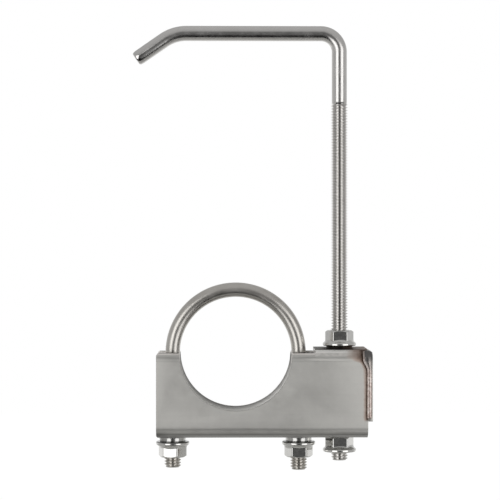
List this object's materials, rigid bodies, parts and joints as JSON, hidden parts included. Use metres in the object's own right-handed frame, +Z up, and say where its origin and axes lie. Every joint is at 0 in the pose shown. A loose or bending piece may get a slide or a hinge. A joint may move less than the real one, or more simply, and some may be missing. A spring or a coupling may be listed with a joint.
{
  "type": "adjustable clamp",
  "caption": "Pipe hanger clamp: a folded channel saddle with a half-round seat, a U-bolt pulled down by flange nuts, and a hooked threaded rod held by nuts at an adjustable height.",
  "frame": {"origin": "centre of the pipe that the clamp goes round, midway along the saddle's depth", "axes": "+X towards the hanger rod, +Y along the pipe, +Z up towards the hook's arm"},
  "size_m": [0.1358, 0.0328, 0.2528],
  "materials": {
    "saddle_steel": "satin",
    "plate_steel": "satin",
    "weld_metal": "rippled, heat tinted",
    "u_bolt_steel": "satin",
    "nut_steel": "polished",
    "rod_steel": "polished"
  },
  "bodies": {
    "saddle": {"saddle": "saddle_steel", "end_plate": "plate_steel", "weld_front": "weld_metal", "weld_back": "weld_metal"},
    "u_bolt": {"u_bolt": "u_bolt_steel"},
    "u_nut_left": {"u_nut_left": "nut_steel"},
    "u_nut_right": {"u_nut_right": "nut_steel"},
    "rod_nuts": {"rod_nut_upper": "nut_steel", "rod_nut_lower": "nut_steel"},
    "hanger_rod": {"hanger_rod": "rod_steel"}
  },
  "joints": [
    {"name": "left_nut_turn", "type": "hinge", "parent": "saddle", "child": "u_nut_left", "pos_m": [-0.0359, 0, -0.0505], "axis": [0, 0, 1], "range_deg": [-1318, 3088]},
    {"name": "right_nut_turn", "type": "hinge", "parent": "saddle", "child": "u_nut_right", "pos_m": [0.0359, 0, -0.0505], "axis": [0, 0, 1], "range_deg": [-1318, 3088]},
    {"name": "u_bolt_draw", "type": "slide", "parent": "saddle", "child": "u_bolt", "axis": [0, 0, 1], "range_m": [-0.0136, 0.0058]},
    {"name": "hook_swivel", "type": "hinge", "parent": "saddle", "child": "rod_nuts", "pos_m": [0.0592, 0, 0], "axis": [0, 0, 1], "continuous": true},
    {"name": "hook_height", "type": "slide", "parent": "rod_nuts", "child": "hanger_rod", "axis": [0, 0, 1], "range_m": [-0.13, 0.0048]}
  ],
  "couplings": [
    {"joint": "left_nut_turn", "follows": "u_bolt_draw", "rad_per_m": -3957.9},
    {"joint": "right_nut_turn", "follows": "u_bolt_draw", "rad_per_m": -3957.9}
  ]
}
